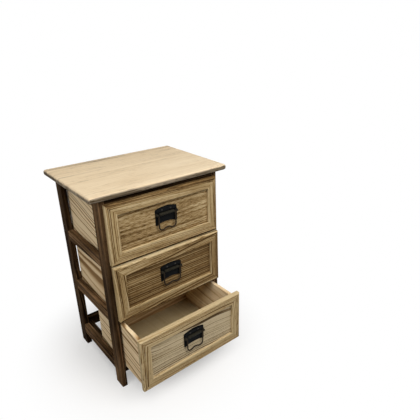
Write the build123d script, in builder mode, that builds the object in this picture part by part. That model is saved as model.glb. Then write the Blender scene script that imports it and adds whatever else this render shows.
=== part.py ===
from build123d import *
from math import cos, radians, sin
import os

# A small open-frame cabinet with three drawers, all sizes in millimetres.
# X runs across the front, Y from front to back, Z up; the origin is on the floor
# under the middle of the frame. Left and right are as seen from the front.

os.makedirs("parts", exist_ok=True)

# Frame
FRAME_W = 348.0
FRAME_D = 274.0
POST_W = 15.0
POST_D = 37.0
POST_ROUND = 1.5
FOOT_H = 46.5
FOOT_CHAMFER = 1.0
EDGE_ROUND = 1.0
SIDE_RAIL_H = 29.0
TOP_SIDE_RAIL_H = 22.0
FRONT_RAIL_D = 18.0
FRONT_RAIL_H = 14.5
FRONT_RAIL_LIFT = 3.5
FRONT_TOP_RAIL_H = 20.0
BACK_RAIL_D = 16.0
BACK_RAIL_H = 33.0
SIDE_TENON_L = 14.0
CROSS_TENON_L = 9.0
TENON_SHOULDER = 4.0
MORTISE_END_GAP = 0.5

# Top panel and the screws that hold it from below
TOP_SIDE_OVERHANG = 26.0
TOP_FRONT_OVERHANG = 15.0
TOP_BACK_OVERHANG = 4.0
TOP_T = 16.0
TOP_CORNER_R = 5.0
TOP_EDGE_R = 6.5
TOP_REVEAL = 12.0
TOP_SCREW_Y = 60.0
TOP_SCREW_R = 2.0
TOP_SCREW_HEAD_R = 3.8
TOP_SCREW_HEAD_H = 2.6
TOP_SCREW_SINK = 8.0
TOP_SCREW_BITE = 10.0

# Drawer levels from the floor up, and how far each drawer stands open
LEVELS = ("lower", "middle", "upper")
OPENINGS = {"lower": 99.0, "middle": 5.3, "upper": 0.0}

# Drawer fronts
FRONT_INSET = 10.0
FRONT_H = 159.0
FRONT_SPACE = 4.5
FRONT_RISE = 17.5
FRONT_T = 13.0
FRONT_GAP = 0.5
MOULD_W = 29.0
MOULD_OUTER_R = 4.0
MOULD_INNER_R = 4.5
GROOVE_R = 1.0
GROOVE_PLACES = (7.0, 11.0)
PANEL_T = 7.0
PANEL_REBATE = 6.0
PANEL_PLAY = 0.3

# Drawer boxes and runners
BOX_RISE = 2.5
BOX_SIDE_GAP = 3.0
BOX_TOP_GAP = 2.5
BOX_RUN_GAP = 0.3
BOX_REAR_ROOM = 11.0
SIDE_T = 10.0
BACK_T = 10.0
BOTTOM_T = 4.0
BOTTOM_RISE = 5.0
BOTTOM_GROOVE = 4.5
BOTTOM_PLAY = 0.3
RUNNER_W = 17.0
RUNNER_H = 12.0

# Handles, measured from the middle of the drawer front
PLATE_W = 65.0
PLATE_T = 2.0
PLATE_LOW = 12.0
PLATE_LEG_W = 8.0
PLATE_LEG_STEP = 3.0
PLATE_ARCH_RISE = 3.5
PLATE_SHOULDER = 31.0
PLATE_CROWN = 36.5
PLATE_CORNER_R = 1.4
PIVOT_RISE = 17.5
PIVOT_OUT = 6.0
KNUCKLE_R = 3.4
KNUCKLE_L = 4.5
ROLL_GAP = 1.2
WIRE_R = 1.8
WIRE_PLAY = 0.08
PIN_STICK_OUT = 0.8
ARM_GAP = 0.7
ARM_DROP = 33.0
BEND_R = 2.2
LOBE_R = 10.0
CUSP_ANGLE = 35.0
SCREW_X = 13.0
SCREW_RISE = 28.0
SCREW_R = 1.2
SCREW_HEAD_R = 2.6
SCREW_HEAD_H = 1.5
SCREW_BITE = 5.5
SCREW_PLAY = 0.1

# Places worked out from the sizes above
level_pitch = FRONT_H + FRONT_SPACE
level_z = {name: FOOT_H + i * level_pitch for i, name in enumerate(LEVELS)}
post_h = FOOT_H + FRONT_RISE + len(LEVELS) * level_pitch - FRONT_SPACE + TOP_REVEAL
post_x = (FRAME_W - POST_W) / 2
post_y = (FRAME_D - POST_D) / 2
inner_w = FRAME_W - 2 * POST_W
inner_d = FRAME_D - 2 * POST_D
front_w = FRAME_W - 2 * FRONT_INSET
front_y = -FRAME_D / 2 - FRONT_GAP
box_w = inner_w - 2 * BOX_SIDE_GAP
box_l = FRAME_D + FRONT_GAP - BACK_RAIL_D - BOX_REAR_ROOM
box_rise = FRONT_RISE + BOX_RISE
box_h = level_pitch + FRONT_RAIL_LIFT - BOX_TOP_GAP - box_rise
screw_places = ((-SCREW_X, SCREW_RISE), (SCREW_X, SCREW_RISE))


def save(piece, name):
    """Label a finished piece and write it to its own file."""
    piece.part.label = name
    export_step(piece.part, f"parts/{name}.step")


# Rails of the frame: level, lower edge and height

side_rails = [("top", post_h - TOP_SIDE_RAIL_H, TOP_SIDE_RAIL_H)]
side_rails += [(level, level_z[level], SIDE_RAIL_H) for level in LEVELS]

front_rails = [("top", post_h - FRONT_TOP_RAIL_H, FRONT_TOP_RAIL_H)]
front_rails += [(level, level_z[level] + FRONT_RAIL_LIFT, FRONT_RAIL_H) for level in LEVELS]

back_rails = [("top", post_h - BACK_RAIL_H, BACK_RAIL_H)]
back_rails += [(level, level_z[level], BACK_RAIL_H) for level in LEVELS]


# Corner posts, with a mortise for every rail that meets them

def make_post(name, side, end, cross_rails, cross_depth):
    """side is -1 at the left and 1 at the right, end is -1 at the front and 1 at the back."""
    with BuildPart() as post:
        with BuildSketch():
            with Locations((side * post_x, end * post_y)):
                RectangleRounded(POST_W, POST_D, POST_ROUND)
        extrude(amount=post_h)
        chamfer(post.faces().sort_by(Axis.Z)[0].edges(), FOOT_CHAMFER)
        depth = SIDE_TENON_L + MORTISE_END_GAP
        for _, low, height in side_rails:
            with Locations((side * post_x, end * (inner_d + depth) / 2, low + height / 2)):
                Box(
                    POST_W - 2 * TENON_SHOULDER,
                    depth,
                    height - 2 * TENON_SHOULDER,
                    mode=Mode.SUBTRACT,
                )
        depth = CROSS_TENON_L + MORTISE_END_GAP
        cross_y = (FRAME_D - cross_depth) / 2
        for _, low, height in cross_rails:
            with Locations((side * (inner_w + depth) / 2, end * cross_y, low + height / 2)):
                Box(
                    depth,
                    cross_depth - 2 * TENON_SHOULDER,
                    height - 2 * TENON_SHOULDER,
                    mode=Mode.SUBTRACT,
                )
    save(post, name)


make_post("post_front_left", -1, -1, front_rails, FRONT_RAIL_D)
make_post("post_front_right", 1, -1, front_rails, FRONT_RAIL_D)
make_post("post_back_left", -1, 1, back_rails, BACK_RAIL_D)
make_post("post_back_right", 1, 1, back_rails, BACK_RAIL_D)


# Rails, each with a stub tenon at both ends

def make_rail(name, plane, place, width, height, span, tenon, screws=()):
    """A rail along the plane's normal with its section at place, bored upright for any screws."""
    with BuildPart() as rail:
        with BuildSketch(plane):
            with Locations(place):
                RectangleRounded(width, height, EDGE_ROUND)
        extrude(amount=span / 2, both=True)
        with BuildSketch(plane):
            with Locations(place):
                Rectangle(width - 2 * TENON_SHOULDER, height - 2 * TENON_SHOULDER)
        extrude(amount=span / 2 + tenon, both=True)
        low = place[1] - height / 2
        for screw_x, screw_y in screws:
            with BuildSketch(Plane.XY.offset(low)):
                with Locations((screw_x, screw_y)):
                    Circle(TOP_SCREW_HEAD_R + SCREW_PLAY)
            extrude(amount=TOP_SCREW_SINK, mode=Mode.SUBTRACT)
            with BuildSketch(Plane.XY.offset(low)):
                with Locations((screw_x, screw_y)):
                    Circle(TOP_SCREW_R + SCREW_PLAY)
            extrude(amount=height, mode=Mode.SUBTRACT)
    save(rail, name)


for side_name, side in (("left", -1), ("right", 1)):
    for level, low, height in side_rails:
        rail_screws = ()
        if level == "top":
            rail_screws = [(side * post_x, y) for y in (-TOP_SCREW_Y, TOP_SCREW_Y)]
        make_rail(
            f"side_rail_{level}_{side_name}",
            Plane.XZ,
            (side * post_x, low + height / 2),
            POST_W,
            height,
            inner_d,
            SIDE_TENON_L,
            rail_screws,
        )

for end_name, end, rails, depth in (
    ("front", -1, front_rails, FRONT_RAIL_D),
    ("back", 1, back_rails, BACK_RAIL_D),
):
    for level, low, height in rails:
        make_rail(
            f"{end_name}_rail_{level}",
            Plane.YZ,
            (end * (FRAME_D - depth) / 2, low + height / 2),
            depth,
            height,
            inner_w,
            CROSS_TENON_L,
        )


# Drawer runners, fixed to the inner faces of the side rails at each level

runner_start = -FRAME_D / 2 + FRONT_RAIL_D
runner_l = FRAME_D - FRONT_RAIL_D - BACK_RAIL_D
runner_z = box_rise - BOX_RUN_GAP - RUNNER_H / 2
for side_name, side in (("left", -1), ("right", 1)):
    with BuildPart() as runners:
        with BuildSketch(Plane.XZ.offset(-runner_start)):
            with Locations(
                *[(side * (inner_w - RUNNER_W) / 2, low + runner_z) for low in level_z.values()]
            ):
                Rectangle(RUNNER_W, RUNNER_H)
        extrude(amount=-runner_l)
    save(runners, f"runners_{side_name}")


# Top panel with rounded corners and edges, and the screws that come up into it

top_screw_places = [(x, y) for x in (-post_x, post_x) for y in (-TOP_SCREW_Y, TOP_SCREW_Y)]

with BuildPart() as top_panel:
    with BuildSketch(Plane.XY.offset(post_h)):
        with Locations((0, (TOP_BACK_OVERHANG - TOP_FRONT_OVERHANG) / 2)):
            RectangleRounded(
                FRAME_W + 2 * TOP_SIDE_OVERHANG,
                FRAME_D + TOP_FRONT_OVERHANG + TOP_BACK_OVERHANG,
                TOP_CORNER_R,
            )
    extrude(amount=TOP_T)
    fillet(top_panel.faces().filter_by(Axis.Z).edges(), min(TOP_EDGE_R, 0.45 * TOP_T))
    with BuildSketch(Plane.XY.offset(post_h)):
        with Locations(*top_screw_places):
            Circle(TOP_SCREW_R + SCREW_PLAY)
    extrude(amount=TOP_SCREW_BITE + MORTISE_END_GAP, mode=Mode.SUBTRACT)
save(top_panel, "top_panel")

with BuildPart() as top_screws:
    screw_seat = post_h - TOP_SIDE_RAIL_H + TOP_SCREW_SINK
    with BuildSketch(Plane.XY.offset(screw_seat)):
        with Locations(*top_screw_places):
            Circle(TOP_SCREW_R)
    extrude(amount=post_h + TOP_SCREW_BITE - screw_seat)
    with BuildSketch(Plane.XY.offset(screw_seat)):
        with Locations(*top_screw_places):
            Circle(TOP_SCREW_HEAD_R)
    extrude(amount=-TOP_SCREW_HEAD_H)
save(top_screws, "top_screws")


# Drawer fronts: four lengths of moulding, mitred round a flat panel

def make_moulding(name, corner, inward, run, length):
    """One length of moulding from a corner of the front's back face, along run."""
    with BuildPart() as moulding:
        with BuildSketch(Plane(origin=corner, x_dir=inward, z_dir=run)) as section:
            lip = MOULD_W - PANEL_REBATE
            with BuildLine():
                Polyline(
                    (0, 0),
                    (0, FRONT_T),
                    (MOULD_W, FRONT_T),
                    (MOULD_W, PANEL_T),
                    (lip, PANEL_T),
                    (lip, 0),
                    close=True,
                )
            make_face()
            face_corners = section.vertices().group_by(Axis.Y)[-1].sort_by(Axis.X)
            fillet(face_corners[0], MOULD_OUTER_R)
            fillet(face_corners[-1], MOULD_INNER_R)
            with Locations(*[(place, FRONT_T) for place in GROOVE_PLACES]):
                Circle(GROOVE_R, mode=Mode.SUBTRACT)
        extrude(amount=length)
        with BuildSketch(Plane(origin=corner, x_dir=inward, z_dir=(0, 1, 0))):
            with BuildLine():
                Polyline(
                    (0, 0),
                    (MOULD_W, MOULD_W),
                    (MOULD_W, length - MOULD_W),
                    (0, length),
                    close=True,
                )
            make_face()
        extrude(amount=FRONT_T, both=True, mode=Mode.INTERSECT)
    save(moulding, name)


def make_front(level, back_y, low_z):
    """The moulded frame and the panel of one drawer front."""
    left, right = -front_w / 2, front_w / 2
    high_z = low_z + FRONT_H
    make_moulding(f"{level}_stile_left", (left, back_y, high_z), (1, 0, 0), (0, 0, -1), FRONT_H)
    make_moulding(f"{level}_rail_bottom", (left, back_y, low_z), (0, 0, 1), (1, 0, 0), front_w)
    make_moulding(f"{level}_stile_right", (right, back_y, low_z), (-1, 0, 0), (0, 0, 1), FRONT_H)
    make_moulding(f"{level}_rail_top", (right, back_y, high_z), (0, 0, -1), (-1, 0, 0), front_w)
    margin = MOULD_W - PANEL_REBATE + PANEL_PLAY
    middle = (0, back_y, low_z + FRONT_H / 2)
    with BuildPart() as panel:
        with BuildSketch(Plane(origin=middle, x_dir=(1, 0, 0), z_dir=(0, -1, 0))):
            Rectangle(front_w - 2 * margin, FRONT_H - 2 * margin)
            with Locations(*screw_places):
                Circle(SCREW_R + SCREW_PLAY, mode=Mode.SUBTRACT)
        extrude(amount=PANEL_T)
    save(panel, f"{level}_panel")


# Drawer boxes: two sides, a back between them and a bottom in grooves that runs under the back

def make_box(level, back_y, low_z):
    """The box behind one front; back_y is the back face of the front."""
    inside_w = box_w - 2 * SIDE_T
    bottom_z = low_z + BOTTOM_RISE
    back_z = bottom_z + BOTTOM_T
    for name, side in (("left", -1), ("right", 1)):
        with BuildPart() as box_side:
            with BuildSketch(Plane.XY.offset(low_z)):
                with Locations((side * (box_w - SIDE_T) / 2, back_y + box_l / 2)):
                    Rectangle(SIDE_T, box_l)
            extrude(amount=box_h)
            fillet(box_side.faces().sort_by(Axis.Z)[-1].edges().filter_by(Axis.Y), EDGE_ROUND)
            with BuildSketch(Plane.XY.offset(bottom_z)):
                with Locations((0, back_y + box_l / 2)):
                    Rectangle(inside_w + 2 * BOTTOM_GROOVE, box_l)
            extrude(amount=BOTTOM_T, mode=Mode.SUBTRACT)
        save(box_side, f"{level}_side_{name}")
    with BuildPart() as box_back:
        with BuildSketch(Plane.XY.offset(back_z)):
            with Locations((0, back_y + box_l - BACK_T / 2)):
                Rectangle(inside_w, BACK_T)
        extrude(amount=low_z + box_h - back_z)
        fillet(box_back.faces().sort_by(Axis.Z)[-1].edges().filter_by(Axis.X), EDGE_ROUND)
    save(box_back, f"{level}_back")
    with BuildPart() as bottom:
        with BuildSketch(Plane.XY.offset(bottom_z)):
            with Locations((0, back_y + box_l / 2)):
                Rectangle(inside_w + 2 * (BOTTOM_GROOVE - BOTTOM_PLAY), box_l)
        extrude(amount=BOTTOM_T)
    save(bottom, f"{level}_bottom")


# Handles: a backplate with hinge knuckles, two screws and a wire bail

knuckle_in = PLATE_W / 2 - KNUCKLE_L
arm_x = knuckle_in - ARM_GAP - WIRE_R
roll_l = 2 * (arm_x - WIRE_R - ROLL_GAP)
pin_end = PLATE_W / 2 + PIN_STICK_OUT


def on_circle(centre, radius, degrees):
    """A point on a circle, at an angle from the centre's right."""
    angle = radians(degrees)
    return (centre[0] + radius * cos(angle), centre[1] + radius * sin(angle))


def draw_arc(centre, radius, start, end):
    """An arc of the circle from one angle to the other."""
    angles = (start, (start + end) / 2, end)
    ThreePointArc(*[on_circle(centre, radius, angle) for angle in angles])


def make_backplate(level, face):
    """face is the plane of the panel's front, at the middle of the drawer front."""
    pivot = face.origin + Vector(0, -PIVOT_OUT, PIVOT_RISE)
    half = PLATE_W / 2
    leg = half - PLATE_LEG_W
    foot = leg + PLATE_LEG_STEP
    low = -PLATE_LOW
    step = low + PLATE_LEG_STEP
    with BuildPart() as backplate:
        with BuildSketch(face) as outline:
            with BuildLine():
                Polyline((-half, PLATE_SHOULDER), (-half, low), (-foot, low), (-leg, step))
                ThreePointArc((-leg, step), (0, step + PLATE_ARCH_RISE), (leg, step))
                Polyline((leg, step), (foot, low), (half, low), (half, PLATE_SHOULDER))
                ThreePointArc((half, PLATE_SHOULDER), (0, PLATE_CROWN), (-half, PLATE_SHOULDER))
            make_face()
            fillet(outline.vertices(), PLATE_CORNER_R)
            with Locations(*screw_places):
                Circle(SCREW_R + SCREW_PLAY, mode=Mode.SUBTRACT)
        extrude(amount=PLATE_T)
        for start, length in (
            (-half, KNUCKLE_L),
            (-roll_l / 2, roll_l),
            (knuckle_in, KNUCKLE_L),
        ):
            knuckle = pivot + Vector(start, 0, 0)
            with BuildSketch(Plane(origin=knuckle, x_dir=(0, 1, 0), z_dir=(1, 0, 0))):
                Circle(KNUCKLE_R)
                with Locations(((PIVOT_OUT - PLATE_T / 2) / 2, 0)):
                    Rectangle(PIVOT_OUT - PLATE_T / 2, 2 * KNUCKLE_R)
            extrude(amount=length)
        for start in (-half, knuckle_in):
            knuckle = pivot + Vector(start, 0, 0)
            with BuildSketch(Plane(origin=knuckle, x_dir=(0, 1, 0), z_dir=(1, 0, 0))):
                Circle(WIRE_R + WIRE_PLAY)
            extrude(amount=KNUCKLE_L, mode=Mode.SUBTRACT)
    save(backplate, f"{level}_backplate")


def make_screws(level, face):
    """The pair of screws that hold the backplate on the panel."""
    with BuildPart() as screws:
        with BuildSketch(face.offset(PLATE_T)):
            with Locations(*screw_places):
                Circle(SCREW_HEAD_R)
        extrude(amount=SCREW_HEAD_H)
        chamfer(screws.faces().sort_by(Axis.Y)[: len(screw_places)].edges(), SCREW_HEAD_H / 2)
        with BuildSketch(face.offset(PLATE_T)):
            with Locations(*screw_places):
                Circle(SCREW_R)
        extrude(amount=-(PLATE_T + SCREW_BITE))
    save(screws, f"{level}_handle_screws")


def make_bail(level, face):
    """The wire bail, hanging from its pivot with two lobes and a cusp between them."""
    pivot = face.origin + Vector(0, -PIVOT_OUT, PIVOT_RISE)
    lobe_x = arm_x - LOBE_R
    cusp_r = lobe_x / sin(radians(CUSP_ANGLE)) - LOBE_R
    cusp_z = -ARM_DROP - (LOBE_R + cusp_r) * cos(radians(CUSP_ANGLE))
    bend_x = arm_x + BEND_R
    with BuildPart() as bail:
        with BuildLine(Plane(origin=pivot, x_dir=(1, 0, 0), z_dir=(0, -1, 0))) as wire:
            Line((-pin_end, 0), (-bend_x, 0))
            draw_arc((-bend_x, -BEND_R), BEND_R, 90, 0)
            Line((-arm_x, -BEND_R), (-arm_x, -ARM_DROP))
            draw_arc((-lobe_x, -ARM_DROP), LOBE_R, 180, 270 + CUSP_ANGLE)
            draw_arc((0, cusp_z), cusp_r, 90 + CUSP_ANGLE, 90 - CUSP_ANGLE)
            draw_arc((lobe_x, -ARM_DROP), LOBE_R, 270 - CUSP_ANGLE, 360)
            Line((arm_x, -ARM_DROP), (arm_x, -BEND_R))
            draw_arc((bend_x, -BEND_R), BEND_R, 180, 90)
            Line((bend_x, 0), (pin_end, 0))
        start = pivot + Vector(-pin_end, 0, 0)
        with BuildSketch(Plane(origin=start, x_dir=(0, 1, 0), z_dir=(1, 0, 0))):
            Circle(WIRE_R)
        sweep(path=wire.wires()[0])
    save(bail, f"{level}_bail")


# The three drawers

for level in LEVELS:
    back_y = front_y - OPENINGS[level]
    front_z = level_z[level] + FRONT_RISE
    make_front(level, back_y, front_z)
    make_box(level, back_y, front_z + BOX_RISE)
    panel_middle = (0, back_y - PANEL_T, front_z + FRONT_H / 2)
    panel_face = Plane(origin=panel_middle, x_dir=(1, 0, 0), z_dir=(0, -1, 0))
    make_backplate(level, panel_face)
    make_screws(level, panel_face)
    make_bail(level, panel_face)
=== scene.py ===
# %% [markdown]
# # Dressing a small open-frame cabinet
#
# The cabinet has a dark stained frame that is open at the sides and the back, a pale top of
# glued boards, and three drawers with weathered, mitred fronts and black drop handles.
# The solids come from CAD and arrive here as a fixed frame. This lesson lights them, gives each
# board its own grain and finish, and models the pressed metal handles.

# %% Load the frame
import math
import random

import bmesh
import bpy
from mathutils import Matrix, Vector


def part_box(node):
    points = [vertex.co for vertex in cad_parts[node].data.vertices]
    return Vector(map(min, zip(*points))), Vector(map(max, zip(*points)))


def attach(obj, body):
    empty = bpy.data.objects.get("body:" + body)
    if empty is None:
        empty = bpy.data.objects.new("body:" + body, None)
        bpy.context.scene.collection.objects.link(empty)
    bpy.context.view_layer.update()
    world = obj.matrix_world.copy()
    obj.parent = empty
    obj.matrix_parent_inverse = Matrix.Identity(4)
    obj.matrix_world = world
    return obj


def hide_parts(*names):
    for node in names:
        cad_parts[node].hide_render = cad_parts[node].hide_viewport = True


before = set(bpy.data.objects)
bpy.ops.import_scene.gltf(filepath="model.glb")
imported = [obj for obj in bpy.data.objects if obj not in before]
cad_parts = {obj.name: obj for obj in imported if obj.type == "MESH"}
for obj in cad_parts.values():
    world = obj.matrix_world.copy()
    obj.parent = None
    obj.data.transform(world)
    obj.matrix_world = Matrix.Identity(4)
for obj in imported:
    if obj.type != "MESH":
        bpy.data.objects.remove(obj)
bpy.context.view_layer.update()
scene = bpy.context.scene
scene.view_settings.view_transform = "Standard"

# %% [markdown]
# ## Camera
#
# A photograph fixes where its camera stood: straight edges that run together give the viewing
# angle, and the size of known pieces gives the distance. The cabinet was seen from its left front
# corner, a little above the top, through a lens of about 35 mm. The small lens shift stands for
# the picture having been cropped after it was taken.

# %% Camera
IMAGE_SIDE = 420.0
FOCAL_PIXELS = 410.96
AXIS_PIXEL = (220.90, 212.91)
CAMERA_PLACE = (-0.51528, -0.98101, 0.90287)
CAMERA_TURN = (66.688, 0.634, -40.193)

camera_data = bpy.data.cameras.new("camera")
camera_data.sensor_width = 36.0
camera_data.lens = camera_data.sensor_width * FOCAL_PIXELS / IMAGE_SIDE
camera_data.shift_x = (IMAGE_SIDE / 2 - AXIS_PIXEL[0]) / IMAGE_SIDE
camera_data.shift_y = (AXIS_PIXEL[1] - IMAGE_SIDE / 2) / IMAGE_SIDE
camera = bpy.data.objects.new("camera", camera_data)
camera.location = CAMERA_PLACE
camera.rotation_euler = [math.radians(angle) for angle in CAMERA_TURN]
scene.collection.objects.link(camera)
scene.camera = camera
print(f"lens {camera_data.lens:.1f} mm")

# %% [markdown]
# ## Node helpers
#
# Every finish below is a small tree of shader nodes. One helper adds a node, sets its options and
# fills its inputs, with a value where the input is constant and with a link where it varies.
# Written this way, a tree reads from top to bottom like a recipe.

# %% Node helpers
def add_node(tree, kind, inputs=None, **options):
    """Add a shader node; inputs are values or the output sockets that feed them."""
    made = tree.nodes.new(kind)
    for name, value in options.items():
        setattr(made, name, value)
    for name, value in (inputs or {}).items():
        if isinstance(value, bpy.types.NodeSocket):
            tree.links.new(value, made.inputs[name])
        else:
            made.inputs[name].default_value = value
    return made


def math_node(tree, operation, *values):
    """A Math node on one to three values; returns its output."""
    inputs = dict(enumerate(values))
    return add_node(tree, "ShaderNodeMath", inputs, operation=operation).outputs[0]


def new_material(name):
    """An empty node material, its tree, and the input that takes its shader."""
    material = bpy.data.materials.new(name)
    material.use_nodes = True
    tree = material.node_tree
    tree.nodes.clear()
    output = add_node(tree, "ShaderNodeOutputMaterial")
    return material, tree, output.inputs["Surface"]

# %% [markdown]
# ## Floor and backdrop
#
# The cabinet stands on a plain white ground. A floor that is only lit turns grey away from the
# lamps, and one that only glows loses the shadow. So the floor, as the camera and mirror-like
# surfaces see it, is mostly lit matt white under the cabinet and goes over to a steady white
# farther out. To the light that bounces off it, it is a plain grey, so that it doesn't brighten
# the cabinet from below. The sky is split in the same way, into what is seen and what gives light.

# %% Floor material
FLOOR_GREY = (0.32, 0.32, 0.32, 1.0)
FLOOR_WHITE = (0.92, 0.92, 0.92, 1.0)
NEAR, FAR = 0.10, 0.42
GLOW_NEAR, GLOW_FAR = 0.25, 1.0


def seen_by_eye(tree):
    """1 for rays that come straight from the camera, or by way of gloss or glass."""
    path = add_node(tree, "ShaderNodeLightPath")
    shine = math_node(
        tree, "MAXIMUM", path.outputs["Is Glossy Ray"], path.outputs["Is Transmission Ray"]
    )
    return math_node(tree, "MAXIMUM", path.outputs["Is Camera Ray"], shine)


def mix_shaders(tree, share, first, second):
    """A mix of two shaders; share is how much of the second shows."""
    inputs = {0: share, 1: first.outputs[0], 2: second.outputs[0]}
    return add_node(tree, "ShaderNodeMixShader", inputs)


floor_material, tree, surface = new_material("floor_white")
dim = add_node(tree, "ShaderNodeBsdfDiffuse", {"Color": FLOOR_GREY})
matt = add_node(tree, "ShaderNodeBsdfDiffuse", {"Color": FLOOR_WHITE})
glow = add_node(tree, "ShaderNodeEmission", {"Strength": 1.0})
spot = add_node(tree, "ShaderNodeTexCoord").outputs["Object"]
away = add_node(tree, "ShaderNodeVectorMath", {0: spot}, operation="LENGTH").outputs["Value"]
plain = add_node(
    tree,
    "ShaderNodeMapRange",
    {"Value": away, "From Min": NEAR, "From Max": FAR, "To Min": GLOW_NEAR, "To Max": GLOW_FAR},
    interpolation_type="SMOOTHSTEP",
)
bright = mix_shaders(tree, plain.outputs[0], matt, glow)
mixed = mix_shaders(tree, seen_by_eye(tree), dim, bright)
tree.links.new(mixed.outputs[0], surface)
print("floor nodes:", len(tree.nodes))

# %% Floor and sky
FLOOR_SIDE = 12.0
SKY_COLOUR, SKY_STRENGTH = (1.0, 0.97, 0.93, 1.0), 0.09
WHITE = (1.0, 1.0, 1.0, 1.0)

floor_mesh = bpy.data.meshes.new("floor")
form = bmesh.new()
bmesh.ops.create_grid(form, x_segments=1, y_segments=1, size=FLOOR_SIDE / 2)
form.to_mesh(floor_mesh)
form.free()
floor_mesh.materials.append(floor_material)
floor = bpy.data.objects.new("floor", floor_mesh)
scene.collection.objects.link(floor)

world = bpy.data.worlds.new("studio")
scene.world = world
world.use_nodes = True
tree = world.node_tree
tree.nodes.clear()
sky = add_node(tree, "ShaderNodeBackground", {"Color": SKY_COLOUR, "Strength": SKY_STRENGTH})
white = add_node(tree, "ShaderNodeBackground", {"Color": WHITE, "Strength": 1.0})
mixed = mix_shaders(tree, seen_by_eye(tree), sky, white)
add_node(tree, "ShaderNodeOutputWorld", {"Surface": mixed.outputs[0]})
print("floor", FLOOR_SIDE, "m square")

# %% [markdown]
# ## Light
#
# Large square lamps give the soft light of a studio, because the bigger a lamp looks from the
# cabinet, the softer the edge of its shadows. The main one stands high at the left front and
# lights the top. One farther off at the right front lights the drawer fronts and leaves the
# inside of the open drawer in shade. A weaker one at the left shows the sides of the boxes, and a
# faint one behind lets the back be read.

# %% Lamps
AIM = Vector((0.0, -0.05, 0.33))
LAMPS = (
    ("key_lamp", (-0.45, -0.90, 2.05), 1.3, 21.5, (1.0, 0.97, 0.92)),
    ("front_lamp", (0.75, -1.85, 2.10), 1.3, 34.0, (1.0, 0.98, 0.95)),
    ("left_lamp", (-1.90, -0.50, 1.30), 1.0, 13.5, (1.0, 0.99, 0.97)),
    ("back_lamp", (1.50, 1.50, 0.85), 1.0, 6.0, (1.0, 0.99, 0.97)),
)
for name, stand, side, watts, colour in LAMPS:
    lamp_data = bpy.data.lights.new(name, "AREA")
    lamp_data.shape = "SQUARE"
    lamp_data.size = side
    lamp_data.energy = watts
    lamp_data.color = colour
    lamp = bpy.data.objects.new(name, lamp_data)
    lamp.location = stand
    lamp.rotation_euler = (AIM - lamp.location).to_track_quat("-Z", "Y").to_euler()
    lamp.visible_camera = False
    scene.collection.objects.link(lamp)
print(len(LAMPS), "lamps")

# %% [markdown]
# ## Grain from a log
#
# A board is a slice out of a log. Its growth rings are nested tubes round the pith, and the face of
# the board shows where it cuts through them. A flat picture of grain would not turn the corner of
# a board, so each board here gets a place in a log of its own: a cut far beside the pith gives
# straight lines, and a cut that climbs across it gives arches. Noise stretched along the board
# bends the rings a little and adds the fine fibres.

# %% Board helpers
NOISE_SPREAD = (1.0, 0.7, 1.3)
NOISE_ROUGHNESS = 0.55


def board_space(tree, node_name, order):
    """Metres along, across and into a board from its middle, and half its size each way."""
    low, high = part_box(node_name)
    texture = add_node(tree, "ShaderNodeTexCoord")
    centred = add_node(
        tree,
        "ShaderNodeMapping",
        {"Vector": texture.outputs["Object"], "Location": -(low + high) / 2},
    )
    parts = add_node(tree, "ShaderNodeSeparateXYZ", {0: centred.outputs[0]}).outputs
    axes = ["XYZ".index(letter) for letter in order]
    return [parts[i] for i in axes], [(high[i] - low[i]) / 2 for i in axes]


def noise(tree, point, per_metre, seed, detail):
    """Noise with so many waves to the metre along, across and into the board."""
    placed = add_node(
        tree,
        "ShaderNodeMapping",
        {
            "Vector": point,
            "Location": [seed * spread for spread in NOISE_SPREAD],
            "Scale": per_metre,
        },
    )
    inputs = {
        "Vector": placed.outputs[0], "Scale": 1.0, "Detail": detail, "Roughness": NOISE_ROUGHNESS,
    }
    return add_node(tree, "ShaderNodeTexNoise", inputs).outputs

# %% Tone helpers
def ramp(tree, value, stops):
    """A colour ramp over a value from 0 to 1."""
    made = add_node(tree, "ShaderNodeValToRGB", {0: value})
    elements = made.color_ramp.elements
    while len(elements) < len(stops):
        elements.new(0.5)
    for element, (position, colour) in zip(elements, stops):
        element.position = position
        element.color = (*colour, 1.0)
    return made.outputs[0]


def fade(tree, value, start, end):
    """1 up to start, falling smoothly to 0 at end."""
    inputs = {"Value": value, "From Min": start, "From Max": end, "To Min": 1.0, "To Max": 0.0}
    made = add_node(tree, "ShaderNodeMapRange", inputs, interpolation_type="SMOOTHSTEP")
    return made.outputs[0]


def swing(tree, value):
    """A value from 0 to 1, moved so that it swings about 0."""
    return math_node(tree, "SUBTRACT", value, 0.5)


def chance(tree, number, seed):
    """A value from 0 to 1 that belongs to a whole number."""
    own = math_node(tree, "ADD", number, seed)
    made = add_node(tree, "ShaderNodeTexWhiteNoise", {"W": own}, noise_dimensions="1D")
    return made.outputs[0]

# %% Growth rings
BEND_ACROSS, BEND_DETAIL = 12.0, 1.5
WEATHER_PACE, WEATHER_DETAIL, WEATHER_YEARS = 0.45, 1.0, 2.2


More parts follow.
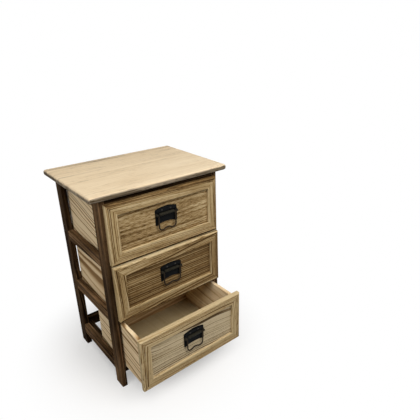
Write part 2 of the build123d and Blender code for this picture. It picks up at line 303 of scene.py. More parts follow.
def count_rings(tree, point, space, log, seed):
    """How many growth rings lie between the pith and each point of a board."""
    along, across, depth = space
    waves = (log["bends"], BEND_ACROSS, BEND_ACROSS)
    wander = noise(tree, point, waves, seed, BEND_DETAIL)[1]
    bends = add_node(tree, "ShaderNodeSeparateXYZ", {0: wander}).outputs
    cuts = ((across, log["beside"], log["lean"]), (depth, log["below"], log["rise"]))
    squares = []
    for bend, (way, pith, climb) in zip(bends, cuts):
        off = math_node(tree, "SUBTRACT", way, pith)
        off = math_node(tree, "MULTIPLY_ADD", along, -climb, off)
        off = math_node(tree, "MULTIPLY_ADD", swing(tree, bend), log["sway"], off)
        squares.append(math_node(tree, "MULTIPLY", off, off))
    radius = math_node(tree, "SQRT", math_node(tree, "ADD", *squares))
    years = math_node(tree, "DIVIDE", radius, log["ring"])
    weather = add_node(
        tree,
        "ShaderNodeTexNoise",
        {
            "W": math_node(tree, "ADD", years, seed),
            "Scale": WEATHER_PACE,
            "Detail": WEATHER_DETAIL,
        },
        noise_dimensions="1D",
    )
    return math_node(tree, "MULTIPLY_ADD", weather.outputs[0], WEATHER_YEARS, years)

# %% [markdown]
# ## From grain to a finish
#
# Pale spring wood, dark summer wood, stain, scorch and wear all move a point up or down one scale
# from light to dark. Each could have a colour of its own, but adding them up first and colouring
# the sum with a single ramp keeps the colours of one finish in family. The ring lines and the
# fibres also drive a slight relief, since brushing wears the soft wood deeper than the hard.

# %% Ring lines and glued boards
RING_SHADE = ((0.0, 0.40), (0.05, 0.06), (0.45, 0.0), (0.78, 0.38), (0.93, 1.0))
FAINTEST_RING = 0.3


def ring_lines(tree, rings, shade, seed):
    """The dark line that ends each ring, stronger in some rings than in others."""
    stops = [(position, (tone, tone, tone)) for position, tone in shade]
    lines = ramp(tree, math_node(tree, "FRACT", rings), stops)
    strength = chance(tree, math_node(tree, "FLOOR", rings), seed)
    weight = math_node(tree, "MULTIPLY_ADD", strength, 1.0 - FAINTEST_RING, FAINTEST_RING)
    return math_node(tree, "MULTIPLY", lines, weight)


def stave_shift(tree, across, width, seed):
    """A chance value about 0 for each of the boards that are glued side by side."""
    count = math_node(tree, "FLOOR", math_node(tree, "DIVIDE", across, width))
    return swing(tree, chance(tree, count, seed))

# %% Wood finish
STAVE_SLIDE = 0.11
FIBRE_ALONG, FIBRE_DEEP, FIBRE_SEED, FIBRE_DETAIL = 4.0, 40.0, 3.0, 4.0
PATCH_WAVES, PATCH_SEED, PATCH_DETAIL = (5.0, 16.0, 16.0), 5.0, 2.0
FINE_PORES, PORE_SEED, PORE_DETAIL = (80.0, 900.0, 900.0), 7.0, 1.0
PORE_SPAN = (0.30, 0.42)
FIBRE_RELIEF, RELIEF_DEPTH = 0.5, 0.0006


def wood(node_name, order, log, look, seed, extra=None):
    """A wood finish for one board; extra(tree, space, half, patch) adds to its darkness."""
    material, tree, surface = new_material(node_name + "_wood")
    space, half = board_space(tree, node_name, order)
    shift = None
    if "stave" in look:
        shift = stave_shift(tree, space[1], look["stave"], seed)
        space[1] = math_node(tree, "MULTIPLY_ADD", shift, STAVE_SLIDE, space[1])
    point = add_node(tree, "ShaderNodeCombineXYZ", dict(enumerate(space))).outputs[0]

    rings = count_rings(tree, point, space, log, seed)
    lines = ring_lines(tree, rings, log.get("shade", look.get("shade", RING_SHADE)), seed)
    in_rings = {0: space[0], 1: rings, 2: space[2]}
    ringed = add_node(tree, "ShaderNodeCombineXYZ", in_rings).outputs[0]
    threads = (FIBRE_ALONG, look["threads"], FIBRE_DEEP)
    fibre = noise(tree, ringed, threads, seed + FIBRE_SEED, FIBRE_DETAIL)[0]
    patch = noise(tree, point, PATCH_WAVES, seed + PATCH_SEED, PATCH_DETAIL)[0]
    pores = noise(tree, point, look.get("dashes", FINE_PORES), seed + PORE_SEED, PORE_DETAIL)[0]
    dots = fade(tree, pores, *look.get("span", PORE_SPAN))

    bold = look["rings"] * log.get("bold", 1.0)
    dark = math_node(tree, "MULTIPLY_ADD", lines, bold, log.get("dark", 0.0))
    dark = math_node(tree, "MULTIPLY_ADD", swing(tree, fibre), look["fibre"], dark)
    dark = math_node(tree, "MULTIPLY_ADD", swing(tree, patch), look["patch"], dark)
    dark = math_node(tree, "MULTIPLY_ADD", dots, look["pores"], dark)
    if shift is not None:
        dark = math_node(tree, "MULTIPLY_ADD", shift, look["stave_tone"], dark)
    if extra is not None:
        dark = math_node(tree, "ADD", dark, extra(tree, space, half, patch))

    relief = {
        "Height": math_node(tree, "MULTIPLY_ADD", fibre, FIBRE_RELIEF, lines),
        "Strength": look["relief"],
        "Distance": RELIEF_DEPTH,
    }
    shader = add_node(
        tree,
        "ShaderNodeBsdfPrincipled",
        {
            "Base Color": ramp(tree, dark, look["colours"]),
            "Roughness": look["roughness"],
            "Specular IOR Level": look["shine"],
            "Normal": add_node(tree, "ShaderNodeBump", relief, invert=True).outputs[0],
        },
    )
    tree.links.new(shader.outputs[0], surface)
    return material

# %% Boards and their logs
BESIDE = (0.05, 0.16)
BELOW = (-0.09, -0.04)
RISE = 0.05
BENDS = 4.0


def any_log(seed, ring, lean=0.03, sway=0.010):
    """A log for a board that needs no special figure, cut well beside the pith."""
    draw = random.Random(seed)
    return {
        "beside": draw.choice((-1, 1)) * draw.uniform(*BESIDE),
        "below": draw.uniform(*BELOW),
        "lean": draw.uniform(-lean, lean),
        "rise": draw.uniform(-RISE, RISE),
        "bends": BENDS,
        "sway": sway,
        "ring": ring,
    }


def dress(node_name, material):
    """Give one CAD node its finish."""
    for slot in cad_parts[node_name].material_slots:
        slot.material = material


def edge_gaps(tree, space, half):
    """How far each point lies inside the edges of a board, one value each way."""
    return [
        math_node(tree, "SUBTRACT", size, math_node(tree, "ABSOLUTE", way))
        for way, size in zip(space, half)
    ]

# %% [markdown]
# ## The frame: dark stain
#
# The posts and rails are softwood, brushed and stained nearly black-brown, and their edges rub
# back to a warmer brown. An even dark paint would hide that they are wood, so the grain stays and
# the stain only adds to the darkness, more on some members than on others. How much more is partly
# painted light and shade: the front rails, seen in the shaded gaps between the drawers, are
# darkest, the back posts are darker than the front ones, and the upper side rails are left lighter
# against the shade under the top. Posts have their grain upright, the other members have it along
# their length.

# %% Frame finish
STAINED = {
    "colours": (
        (0.0, (0.270, 0.160, 0.082)),
        (0.35, (0.120, 0.070, 0.034)),
        (0.7, (0.040, 0.022, 0.010)),
        (1.0, (0.008, 0.004, 0.002)),
    ),
    "threads": 0.9,
    "rings": 0.75,
    "fibre": 1.90,
    "pores": 0.25,
    "patch": 1.10,
    "relief": 0.5,
    "roughness": 0.60,
    "shine": 0.005,
}
RUB_WIDTH = (0.0004, 0.0035)
RUB_PATCHES = (0.40, 0.62)
RUB = -0.30


def rubbed_edges(tree, space, half, patch):
    """Takes darkness away in places along the long edges of a straight board."""
    gap = math_node(tree, "MAXIMUM", *edge_gaps(tree, space[1:], half[1:]))
    near = fade(tree, gap, *RUB_WIDTH)
    rub = math_node(tree, "MULTIPLY", near, fade(tree, patch, *RUB_PATCHES))
    return math_node(tree, "MULTIPLY", rub, RUB)

# %% Stain the frame
FRAME_RING = 0.0055
FRAME_GRAIN = {"post": "ZYX", "side": "YZX", "front": "XZY", "back": "XZY", "runners": "YZX"}
# Stain depth by member, partly painted light and shade: front rails darkest as painted shade for
# the gaps between the drawers, front posts lighter than the back ones, which take FULL_STAIN as
# painted shade, and upper side rails lighter against the shade under the top.
STAIN_AND_SHADE_DEPTH = {
    "post_front": 0.36,
    "side_rail_upper": 0.12,
    "side_rail": 0.27,
    "front_rail_top": 0.66,
    "front_rail": 0.95,
}
FULL_STAIN = 0.62

stained = [name for name in sorted(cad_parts) if name.split("_")[0] in FRAME_GRAIN]
for seed, name in enumerate(stained):
    depths = (depth for start, depth in STAIN_AND_SHADE_DEPTH.items() if name.startswith(start))
    log = any_log(seed, FRAME_RING)
    log["dark"] = next(depths, FULL_STAIN)
    order = FRAME_GRAIN[name.split("_")[0]]
    dress(name, wood(name, order, log, STAINED, seed, rubbed_edges))
print(len(stained), "stained pieces")

# %% [markdown]
# ## The top: glued pale boards
#
# The top is glued up from pale boards side by side, all with their grain along the length. It is
# only lightly sealed, so the figure stays faint, with short open pores. One panel is one solid, so
# the boards are told apart in the material: each slides to another part of the log and gets a
# tone of its own. The rounded rim is made a greyer, darker brown the further it turns from the top:
# scorched and brushed, with painted shade on its rounding.

# %% Top finish
PALE = {
    "colours": (
        (0.0, (0.82, 0.690, 0.500)),
        (0.45, (0.680, 0.530, 0.345)),
        (0.68, (0.385, 0.318, 0.238)),
        (0.88, (0.165, 0.130, 0.085)),
        (1.0, (0.085, 0.060, 0.036)),
    ),
    "threads": 1.2,
    "rings": 0.34,
    "fibre": 0.95,
    "pores": 0.24,
    "dashes": (38.0, 380.0, 380.0),
    "patch": 0.50,
    "stave": 0.059,
    "stave_tone": 0.30,
    "relief": 0.15,
    "roughness": 0.55,
    "shine": 0.015,
}
TOP_LOG = {
    "beside": 0.30, "below": -0.06, "lean": 0.008, "rise": 0.0,
    "bends": 3.0, "sway": 0.006, "ring": 0.0040, "dark": 0.25,
}
TOP_SEED = 41
# Scorch on the rim, with painted shade that deepens as the rounding turns away from the top.
RIM_TILT = (0.05, 0.92)
RIM_CHAR_AND_SHADE = 0.60


def rim_scorch_and_shade(tree, space, half, patch):
    """Darkens the faces that do not look straight up: scorch on the rim, with painted shade on its
    rounding.
    """
    facing = add_node(tree, "ShaderNodeTexCoord").outputs["Normal"]
    up = add_node(tree, "ShaderNodeSeparateXYZ", {0: facing}).outputs[2]
    return math_node(tree, "MULTIPLY", fade(tree, up, *RIM_TILT), RIM_CHAR_AND_SHADE)


top_wood = wood("top_panel", "XYZ", TOP_LOG, PALE, TOP_SEED, rim_scorch_and_shade)
dress("top_panel", top_wood)
print("top nodes:", len(top_wood.node_tree.nodes))

# %% [markdown]
# ## The drawer fronts: scorched and brushed
#
# Scorching the fronts and then brushing off the char leaves brown lines with paler wood between.
# The moulding is mitred, so its grain turns at every corner, and the darkening in the grooves and
# round the panel, char together with painted shade in these hollows, draws the outline of each
# front.
# Some edges carry painted light as well: a painted shadow of the top on the upper front, painted
# shade on the right stiles of the upper and middle fronts and along the gaps under them, and
# painted highlights on the top edges of the middle and lower fronts and on the inner lips that face
# the
# light. Each panel comes from another log: the upper one is speckled and softly banded, the middle
# one has dark straight lines, and the lower one is greyer.

# %% Front finishes
BRUSHED = {
    "colours": (
        (0.0, (0.580, 0.455, 0.265)),
        (0.30, (0.420, 0.302, 0.148)),
        (0.65, (0.230, 0.140, 0.055)),
        (1.0, (0.075, 0.040, 0.014)),
    ),
    "threads": 0.9,
    "rings": 0.90,
    "fibre": 1.25,
    "pores": 0.42,
    "patch": 0.75,
    "relief": 0.55,
    "roughness": 0.58,
    "shine": 0.06,
}
GREYED = dict(BRUSHED)
GREYED["colours"] = (
    (0.0, (0.600, 0.495, 0.325)),
    (0.30, (0.440, 0.345, 0.205)),
    (0.65, (0.230, 0.155, 0.075)),
    (1.0, (0.075, 0.045, 0.020)),
)
SPECKLED = dict(
    BRUSHED, fibre=1.0, pores=0.56, dashes=(68.0, 900.0, 900.0), span=(0.34, 0.62), patch=1.1
)
SOFT_RINGS = ((0.0, 0.70), (0.18, 0.30), (0.45, 0.0), (0.75, 0.45), (0.95, 1.0))

# %% Char and painted light on the fronts
# Grooves and panel border: char, and painted shade in these hollows.
GROOVES = (0.0072, 0.0112)
GROOVE_WIDTH, GROOVE_CHAR_AND_SHADE = (0.0003, 0.0016), 0.34
OUTER_START = 0.0010
LIP_WIDTH = (0.0025, 0.0050)
MOULD_REVEAL = 0.0060
BORDER_WIDTH, BORDER_CHAR_AND_SHADE = 0.012, 0.12


def moulding_char_and_light(outer, edge, lip):
    """Darkens the grooves of a moulding with char and painted shade, and its outer and inner edges
    by so much, which is rubbed wear on some edges and painted shadow, shade and highlight on
    others.
    """
    edge_darkness, edge_width = edge

    def extra(tree, space, half, patch):
        inward = math_node(tree, "MULTIPLY_ADD", space[1], -outer, half[1])
        moulding_marks = math_node(
            tree, "MULTIPLY", fade(tree, inward, OUTER_START, edge_width), edge_darkness
        )
        for groove in GROOVES:
            off = math_node(tree, "ABSOLUTE", math_node(tree, "SUBTRACT", inward, groove))
            near = fade(tree, off, *GROOVE_WIDTH)
            moulding_marks = math_node(tree, "MULTIPLY_ADD", near, GROOVE_CHAR_AND_SHADE, moulding_marks)
        left = math_node(tree, "SUBTRACT", 2 * half[1], inward)
        return math_node(tree, "MULTIPLY_ADD", fade(tree, left, *LIP_WIDTH), lip, moulding_marks)

    return extra


def border_char_and_shade(tree, space, half, patch):
    """Darkens a panel close to the moulding round it, as char and painted shade in the recess."""
    gap = math_node(tree, "MINIMUM", *edge_gaps(tree, space[:2], half[:2]))
    near = fade(tree, gap, MOULD_REVEAL, MOULD_REVEAL + BORDER_WIDTH)
    return math_node(tree, "MULTIPLY", near, BORDER_CHAR_AND_SHADE)

# %% Logs for the panels
LEVELS = ("lower", "middle", "upper")
PANEL_LOGS = {
    "upper": {
        "beside": 0.022, "below": -0.010, "lean": 0.03, "rise": -0.05, "bends": 3.5,
        "sway": 0.024, "ring": 0.0120, "dark": 0.08, "bold": 0.64, "shade": SOFT_RINGS,
    },
    "middle": {
        "beside": 0.40, "below": -0.05, "lean": 0.0, "rise": 0.0, "bends": 2.0,
        "sway": 0.004, "ring": 0.0056, "dark": 0.51, "bold": 3.0,
    },
    "lower": {
        "beside": 0.06, "below": -0.05, "lean": -0.03, "rise": 0.04, "bends": 5.0,
        "sway": 0.022, "ring": 0.0042, "dark": -0.14, "bold": 2.0,
    },
}
PANEL_LOOKS = {"upper": SPECKLED, "middle": BRUSHED, "lower": GREYED}

# %% Logs and edges for the mouldings
MOULDING_DARK = {"upper": 0.24, "middle": 0.31, "lower": 0.05}
MOULDING_RING, MOULDING_LEAN, MOULDING_SWAY, MOULDING_BENDS = 0.0046, 0.10, 0.014, 6.0
# Painted highlight on the inner lip of the bottom rail and the stiles, where the bevel faces the
# light; none under the top rail.
PAINTED_LIP_HIGHLIGHT = -0.30
MEMBERS = (
    ("rail_top", "XZY", 1, 0.0),
    ("rail_bottom", "XZY", -1, PAINTED_LIP_HIGHLIGHT),
    ("stile_left", "ZXY", -1, PAINTED_LIP_HIGHLIGHT),
    ("stile_right", "ZXY", 1, PAINTED_LIP_HIGHLIGHT),
)
RUBBED_EDGE = (-0.10, 0.0040)
# Painted light on single outer edges: a painted shadow of the top on the upper front's top rail,
# painted shade on the right stiles and on the bottom rails by the gaps, and painted highlights on
# the top edges of the middle and lower fronts, over their rubbed wear.
EDGES = {
    "upper_rail_top": (0.50, 0.0120),
    "upper_stile_right": (0.35, 0.0120),
    "middle_stile_right": (0.25, 0.0120),
    "upper_rail_bottom": (0.60, 0.0045),
    "middle_rail_bottom": (0.60, 0.0045),
    "middle_rail_top": (-0.40, 0.0050),
    "lower_rail_top": (-0.50, 0.0060),
}

# %% Finish the fronts
FRONT_SEED, DRAWER_STEP = 50, 10

for level, panel_log in PANEL_LOGS.items():
    seed = FRONT_SEED + DRAWER_STEP * LEVELS.index(level)
    name = f"{level}_panel"
    dress(name, wood(name, "XZY", panel_log, PANEL_LOOKS[level], seed, border_char_and_shade))
    for i, (member, order, outer, lip) in enumerate(MEMBERS, start=1):
        name = f"{level}_{member}"
        log = any_log(seed + i, MOULDING_RING, lean=MOULDING_LEAN, sway=MOULDING_SWAY)
        log.update(bends=MOULDING_BENDS, dark=MOULDING_DARK[level])
        moulding_marks = moulding_char_and_light(outer, EDGES.get(name, RUBBED_EDGE), lip)
        dress(name, wood(name, order, log, BRUSHED, seed + i, moulding_marks))
print(len(PANEL_LOGS), "fronts, each a panel and", len(MEMBERS), "lengths of moulding")

# %% [markdown]
# ## The drawer boxes
#
# The sides and the back of each box are plain pale boards with brown streaks, left bare. The left
# sides show through the open frame, so each of them has a figure chosen for it. The right sides and
# the backs are made darker, as painted shade inside the open drawer. The bottom is a thin, even
# sheet, which has the same kind of tree with the rings and fibres turned down.

# %% Box finish
BOX = {
    "colours": (
        (0.0, (0.860, 0.690, 0.450)),
        (0.40, (0.720, 0.530, 0.310)),
        (0.75, (0.450, 0.285, 0.135)),
        (1.0, (0.250, 0.145, 0.062)),
    ),
    "shade": ((0.0, 0.60), (0.14, 0.05), (0.42, 0.0), (0.70, 0.45), (0.90, 1.0)),
    "threads": 0.7,
    "rings": 1.25,
    "fibre": 1.20,
    "pores": 0.15,
    "patch": 0.80,
    "relief": 0.2,
    "roughness": 0.62,
    "shine": 0.02,
}
SHEET = dict(BOX, rings=0.12, fibre=0.25, patch=0.18)
SHEET["colours"] = (
    (0.0, (0.590, 0.475, 0.285)),
    (0.5, (0.430, 0.330, 0.175)),
    (1.0, (0.250, 0.170, 0.080)),
)
BOX_RING, BOX_LEAN, BOX_SWAY = 0.0115, 0.05, 0.026
SHEET_RING, SHEET_DARK = 0.009, 0.30

# %% Finish the boxes
BOX_SEED = 90
BOARDS = (("side_left", "YZX"), ("side_right", "YZX"), ("back", "XZY"))
LEFT_LOGS = {
    "upper": {"lean": 0.22, "dark": -0.36, "bold": 2.2},
    "middle": {"lean": 0.10, "dark": 0.05, "ring": 0.0260, "sway": 0.040},
    "lower": {"lean": 0.14, "dark": -0.06, "ring": 0.0150, "bold": 1.5},
}
# Right sides and backs: fainter rings, and a darker tone as painted shade inside the open drawer.
INNER_LOGS_AND_SHADE = {"side_right": {"bold": 0.45, "dark": 0.22}, "back": {"bold": 0.45, "dark": 0.60}}

for level in LEVELS:
    seed = BOX_SEED + DRAWER_STEP * LEVELS.index(level)
    for i, (board, order) in enumerate(BOARDS, start=1):
        name = f"{level}_{board}"
        log = any_log(seed + i, BOX_RING, lean=BOX_LEAN, sway=BOX_SWAY)
        log.update(LEFT_LOGS[level] if board == "side_left" else INNER_LOGS_AND_SHADE[board])
        dress(name, wood(name, order, log, BOX, seed + i))
    seed += len(BOARDS) + 1
    name = f"{level}_bottom"
    log = any_log(seed, SHEET_RING)
    log["dark"] = SHEET_DARK
    dress(name, wood(name, "YXZ", log, SHEET, seed))
print(len(LEVELS), "boxes, each a bottom and", len(BOARDS), "boards")

# %% [markdown]
# ## Black iron
#
# The handles are pressed steel under black lacquer with a bluish cast. The bail and the rolled bar
# it hangs from have been rubbed down to a dull bronze in places. Noise picks those places, and a
# ramp goes from the lacquer to the rubbed tone, with no hard border between them.

# %% Metal finishes
WEAR_WAVES, WEAR_SEED, WEAR_DETAIL = (120.0, 120.0, 120.0), 2.0, 3.0
WORN_FULL, WORN_START = 0.5, 0.25
IRON_SHINE = 0.04


def iron(name, black, rubbed, roughness):
    """Black lacquer that gives way to a rubbed tone in soft patches."""
    material, tree, surface = new_material(name)
    spot = add_node(tree, "ShaderNodeTexCoord").outputs["Object"]
    patch = noise(tree, spot, WEAR_WAVES, WEAR_SEED, WEAR_DETAIL)[0]
    worn = fade(tree, patch, WORN_FULL, WORN_START)
    tone = ramp(tree, worn, ((0.0, black), (1.0, rubbed)))
    shader = add_node(
        tree,
        "ShaderNodeBsdfPrincipled",
        {"Base Color": tone, "Roughness": roughness, "Specular IOR Level": IRON_SHINE},
    )
    tree.links.new(shader.outputs[0], surface)
    return material


lacquer = iron("black_lacquer", (0.0018, 0.002, 0.0025), (0.006, 0.0065, 0.007), 0.30)
bronze = iron("rubbed_bronze", (0.003, 0.003, 0.003), (0.022, 0.020, 0.014), 0.34)
wire = iron("bail_lacquer", (0.008, 0.007, 0.006), (0.032, 0.023, 0.015), 0.36)
steel = iron("dark_steel", (0.010, 0.010, 0.010), (0.040, 0.038, 0.034), 0.32)
dress("top_screws", steel)
for level in LEVELS:
    dress(f"{level}_bail", wire)
    dress(f"{level}_backplate", lacquer)
    dress(f"{level}_handle_screws", steel)
print("metals:", ", ".join(metal.name for metal in (lacquer, bronze, wire, steel)))

# %% [markdown]
# ## Pressing and turning
#
# A handle is sheet steel pressed over a die, with turned parts on it. The outline of a pressed
# piece is drawn as one half, with its arcs spun from a point, then mirrored and filled. Extruding,
# insetting and bevelling make sheet metal of the flat face. A turned piece is a profile spun round
# its axis, like work on a lathe. Drawing half an outline keeps the two halves alike, and the
# operators keep the sheet closed.

# %% Outline helpers
MM = 0.001
WELD = 1e-6
STILL = (0.0, 0.0, 0.0)


def grow(form, vert, x, z):
    """Carry an outline on from a vertex to a new place in the plane of the plate."""
    made = bmesh.ops.extrude_vert_indiv(form, verts=[vert])["verts"][0]
    made.co = (x, 0.0, z)
    return made


def grow_arc(form, vert, centre_z, angle, steps):
    """Carry an outline on along an arc whose centre lies on the middle line."""
    spun = bmesh.ops.spin(
        form, geom=[vert], cent=(0.0, 0.0, centre_z), axis=(0.0, 1.0, 0.0), dvec=STILL,
        angle=angle, steps=steps, use_merge=False, use_duplicate=False,
    )
    return spun["geom_last"][0]


def arc_radius(half_width, rise):
    """Radius of the arc that rises so far over half its width."""
    return (half_width**2 + rise**2) / (2.0 * rise)

# %% Pressed sheet
CORNER_TURN = math.radians(25.0)
CORNER_STEPS, RIM_STEPS = 3, 2
SIDEWAYS = 0.1


def press(form, thick, corner, rim, sink, soft):
    """Mirror and fill a half outline, thicken it towards -Y and sink a field inside its rim."""
    bmesh.ops.mirror(
        form, geom=form.verts[:] + form.edges[:], matrix=Matrix.Identity(4), merge_dist=WELD,
        axis="X",
    )
    bmesh.ops.contextual_create(form, geom=form.edges[:])
    corners = [vert for vert in form.verts if vert.calc_edge_angle(0.0) > CORNER_TURN]
    bmesh.ops.bevel(
        form, geom=corners, offset=corner, offset_type="OFFSET", segments=CORNER_STEPS,
        profile=0.5, affect="VERTICES", material=-1,
    )
    grown = bmesh.ops.extrude_face_region(form, geom=form.faces[:])["geom"]
    moved = [part for part in grown if isinstance(part, bmesh.types.BMVert)]
    front = [part for part in grown if isinstance(part, bmesh.types.BMFace)]
    bmesh.ops.translate(form, verts=moved, vec=(0.0, -thick, 0.0))
    bmesh.ops.recalc_face_normals(form, faces=form.faces[:])
    bmesh.ops.inset_region(form, faces=front, thickness=rim, depth=-sink, use_even_offset=True)
    outer = [
        edge for edge in form.edges
        if all(abs(vert.co.y + thick) < WELD for vert in edge.verts)
        and any(abs(face.normal.y) < SIDEWAYS for face in edge.link_faces)
    ]
    bmesh.ops.bevel(
        form, geom=outer, offset=soft, offset_type="OFFSET", segments=RIM_STEPS, profile=0.5,
        affect="EDGES", material=-1,
    )

# %% Turned pieces and straps
TURN_STEPS = 28


def turn(form, profile, axis_y, axis_z, closed):
    """Turn a profile of (x, radius) pairs round an axis along X."""
    verts = [form.verts.new((x, axis_y - radius, axis_z)) for x, radius in profile]
    edges = [form.edges.new(pair) for pair in zip(verts, verts[1:])]
    if closed:
        edges.append(form.edges.new((verts[-1], verts[0])))
    bmesh.ops.spin(
        form, geom=verts + edges, cent=(0.0, axis_y, axis_z), axis=(1.0, 0.0, 0.0), dvec=STILL,
        angle=math.tau, steps=TURN_STEPS, use_merge=True, use_duplicate=False,
    )
    bmesh.ops.remove_doubles(form, verts=form.verts[:], dist=WELD)


def block(form, low, high):
    """A plain strap of metal between two corners."""
    low, high = Vector(low), Vector(high)
    fit = Matrix.Translation((low + high) / 2) @ Matrix.Diagonal((*(high - low), 1.0))
    bmesh.ops.create_cube(form, size=1.0, matrix=fit)


def join_shell(whole, shell, finish):
    """Turn the faces of a shell outwards and add it to a piece, with the finish of that number."""
    bmesh.ops.recalc_face_normals(shell, faces=shell.faces[:])
    for face in shell.faces:
        face.smooth = True
        face.material_index = finish
    mesh = bpy.data.meshes.new("shell")
    shell.to_mesh(mesh)
    shell.free()
    whole.from_mesh(mesh)
    bpy.data.meshes.remove(mesh)

# %% [markdown]
# ## The handle plates
#
# Each plate has an arched head, a field sunk inside a raised rim, two short legs, and a strap
# rolled forward to carry the bail, with an eye at each side for the bail's pins. The CAD plate is
# plain sheet of the same outline, so the pressed one takes its place. Its parts are made one by
# one as closed shells and joined, which is easier to check than one skin over all of them.

# %% Handle measures
HALF, CROWN, SHOULDER, LOW = 32.5 * MM, 36.5 * MM, 31.0 * MM, -12.0 * MM
FOOT, LEG, STEP, ARCH = 27.5 * MM, 24.5 * MM, -9.0 * MM, -5.5 * MM
CROWN_STEPS, ARCH_STEPS = 8, 6
HEAD_HALF, HEAD_CROWN, HEAD_LOW = 29.8 * MM, 34.2 * MM, 22.4 * MM
PIVOT_Y, PIVOT_Z = -6.0 * MM, 17.5 * MM
ROLL = (
    (22.5, 0.0), (22.5, 2.4), (22.0, 3.1), (21.3, 3.39), (19.3, 3.39), (18.9, 3.0), (17.9, 3.0),
    (17.5, 3.35),
)
EYE = ((28.0, 1.9), (28.0, 3.0), (28.4, 3.39), (32.1, 3.39), (32.5, 3.0), (32.5, 1.9))
STRAP_BACK, STRAP_TOP = -1.0 * MM, PIVOT_Z + 3.3 * MM
ROLL_STRAP_HALF, ROLL_STRAP_LOW = 21.5 * MM, PIVOT_Z + 1.9 * MM
EYE_STRAP_ENDS, EYE_STRAP_LOW = (28.2 * MM, 32.3 * MM), PIVOT_Z + 2.0 * MM
LACQUERED, RUBBED = 0, 1

# %% Plate and head
def pressed_plate():
    """The plate with its arched head, its two legs and its sunk field."""
    plate = bmesh.new()
    last = plate.verts.new((0.0, 0.0, CROWN))
    radius = arc_radius(HALF, CROWN - SHOULDER)
    last = grow_arc(plate, last, CROWN - radius, math.asin(HALF / radius), CROWN_STEPS)
    for x, z in ((HALF, LOW), (FOOT, LOW), (LEG, STEP)):
        last = grow(plate, last, x, z)
    radius = arc_radius(LEG, ARCH - STEP)
    grow_arc(plate, last, ARCH - radius, -math.asin(LEG / radius), ARCH_STEPS)
    press(
        plate, thick=2.0 * MM, corner=1.5 * MM, rim=1.2 * MM, sink=0.5 * MM, soft=0.35 * MM
    )
    return plate


def raised_head():
    """The raised field in the arch of the plate."""
    head = bmesh.new()
    last = head.verts.new((0.0, 0.0, HEAD_CROWN))
    radius = arc_radius(HALF, CROWN - SHOULDER)
    turned = math.asin(HEAD_HALF / radius)
    last = grow_arc(head, last, HEAD_CROWN - radius, turned, CROWN_STEPS)
    last = grow(head, last, HEAD_HALF, HEAD_LOW)
    grow(head, last, 0.0, HEAD_LOW)
    press(head, thick=3.0 * MM, corner=1.6 * MM, rim=1.2 * MM, sink=-0.3 * MM, soft=0.5 * MM)
    return head

# %% Bar and eyes
def rolled_bar():
    """The rolled bar between the arms of the bail, on its strap."""
    roll = bmesh.new()
    half = [(x * MM, radius * MM) for x, radius in ROLL]
    other_half = [(-x, radius) for x, radius in reversed(half)]
    turn(roll, half + other_half, PIVOT_Y, PIVOT_Z, closed=False)
    block(
        roll, (-ROLL_STRAP_HALF, PIVOT_Y, ROLL_STRAP_LOW), (ROLL_STRAP_HALF, STRAP_BACK, STRAP_TOP)
    )
    return roll


def pin_eye(side):
    """The eye for one pin of the bail, on its strap; side is -1 or 1."""
    eye = bmesh.new()
    profile = [(side * x * MM, radius * MM) for x, radius in EYE]
    turn(eye, profile, PIVOT_Y, PIVOT_Z, closed=True)
    left, right = sorted(side * end for end in EYE_STRAP_ENDS)
    block(eye, (left, PIVOT_Y, EYE_STRAP_LOW), (right, STRAP_BACK, STRAP_TOP))
    return eye

# %% Handle plates
SHARP = math.radians(32.0)


def handle_plate():
    """A whole plate; its origin is the middle of the front."""
    whole = bmesh.new()
    join_shell(whole, pressed_plate(), LACQUERED)
    join_shell(whole, raised_head(), LACQUERED)
    join_shell(whole, rolled_bar(), RUBBED)
    for side in (-1, 1):
        join_shell(whole, pin_eye(side), RUBBED)
    return whole


def place_piece(name, form, centre, finishes, body, stands_for):
    """Move a finished form to its place, parent it to the empty of the body that moves it, and hide
    the CAD node it stands for.
    """
    bmesh.ops.translate(form, verts=form.verts[:], vec=centre)
    mesh = bpy.data.meshes.new(name)
    form.to_mesh(mesh)
    form.free()
    mesh.set_sharp_from_angle(angle=SHARP)
    for finish in finishes:
        mesh.materials.append(finish)
    piece = bpy.data.objects.new(name, mesh)
    scene.collection.objects.link(piece)
    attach(piece, body)
    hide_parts(stands_for)
    return piece


def handle_centre(level):
    """The middle of a drawer front, on the face of its panel."""
    low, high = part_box(f"{level}_backplate")
    return Vector((0.0, high.y, low.z - LOW))


for level in LEVELS:
    plate = place_piece(
        f"{level}_handle_plate", handle_plate(), handle_centre(level), (lacquer, bronze),
        f"{level}_drawer", f"{level}_backplate",
    )
print(len(plate.data.polygons), "faces on each handle plate")

# %% [markdown]
# ## The handle screws
#
# Two round-head screws hold each plate. A dome is a short arc turned round the axis of the screw.
# Two cuts across it mark off the slot, and the strip between them is pushed down. A boolean cut
# would give the same slot, but with long thin faces. No two screws stop with their slots turned
# alike, so each has its own tilt.

# %% Screw head
SCREW_X, SCREW_Z = 13.0 * MM, 28.0 * MM
SCREW_SEAT, DOME_RADIUS, DOME_RISE = -3.2 * MM, 2.6 * MM, 1.5 * MM
ARC_STEPS, DOME_STEPS = 5, 20
SLOT_HALF, SLOT_DEPTH = 0.35 * MM, 0.55 * MM
CUT_SNAP = 1e-7
FORWARDS = -0.1


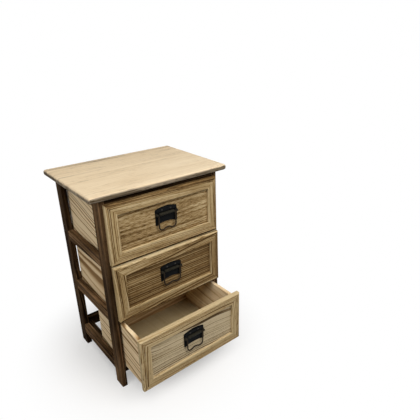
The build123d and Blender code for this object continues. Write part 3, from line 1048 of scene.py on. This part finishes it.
def dome():
    """A closed dome that stands on the plate, with its axis along Y."""
    form = bmesh.new()
    radius = arc_radius(DOME_RADIUS, DOME_RISE)
    crown = SCREW_SEAT - DOME_RISE
    top = form.verts.new((0.0, crown, 0.0))
    bmesh.ops.spin(
        form, geom=[top], cent=(0.0, crown + radius, 0.0), axis=(0.0, 0.0, 1.0), dvec=STILL,
        angle=math.asin(DOME_RADIUS / radius), steps=ARC_STEPS, use_merge=False,
        use_duplicate=False,
    )
    bmesh.ops.spin(
        form, geom=form.verts[:] + form.edges[:], cent=STILL, axis=(0.0, 1.0, 0.0), dvec=STILL,
        angle=math.tau, steps=DOME_STEPS, use_merge=True, use_duplicate=False,
    )
    bmesh.ops.remove_doubles(form, verts=form.verts[:], dist=WELD)
    bmesh.ops.holes_fill(form, edges=form.edges[:], sides=0)
    return form


def screw_head(x, tilt):
    """A slotted dome at one side of the plate, its slot turned by tilt."""
    form = dome()
    for side in (-1.0, 1.0):
        bmesh.ops.bisect_plane(
            form, geom=form.verts[:] + form.edges[:] + form.faces[:], dist=CUT_SNAP,
            plane_co=(side * SLOT_HALF, 0.0, 0.0), plane_no=(1.0, 0.0, 0.0),
        )
    bmesh.ops.recalc_face_normals(form, faces=form.faces[:])
    strip = [
        face for face in form.faces
        if abs(face.calc_center_median().x) < SLOT_HALF and face.normal.y < FORWARDS
    ]
    grown = bmesh.ops.extrude_face_region(form, geom=strip)["geom"]
    bmesh.ops.delete(form, geom=strip, context="FACES")
    sunk = [part for part in grown if isinstance(part, bmesh.types.BMVert)]
    bmesh.ops.translate(form, verts=sunk, vec=(0.0, SLOT_DEPTH, 0.0))
    bmesh.ops.rotate(
        form, verts=form.verts[:], cent=STILL, matrix=Matrix.Rotation(tilt, 3, "Y")
    )
    bmesh.ops.translate(form, verts=form.verts[:], vec=(x, 0.0, SCREW_Z))
    return form

# %% Handle screws
SLOT_TILTS = {"lower": (0.5, 2.0), "middle": (1.3, 1.4), "upper": (2.1, 0.8)}

for level in LEVELS:
    heads = bmesh.new()
    for x, tilt in zip((-SCREW_X, SCREW_X), SLOT_TILTS[level]):
        join_shell(heads, screw_head(x, tilt), finish=0)
    screws = place_piece(
        f"{level}_screw_heads", heads, handle_centre(level), (steel,),
        f"{level}_drawer", f"{level}_handle_screws",
    )
print(len(screws.data.polygons), "faces on each pair of screws")
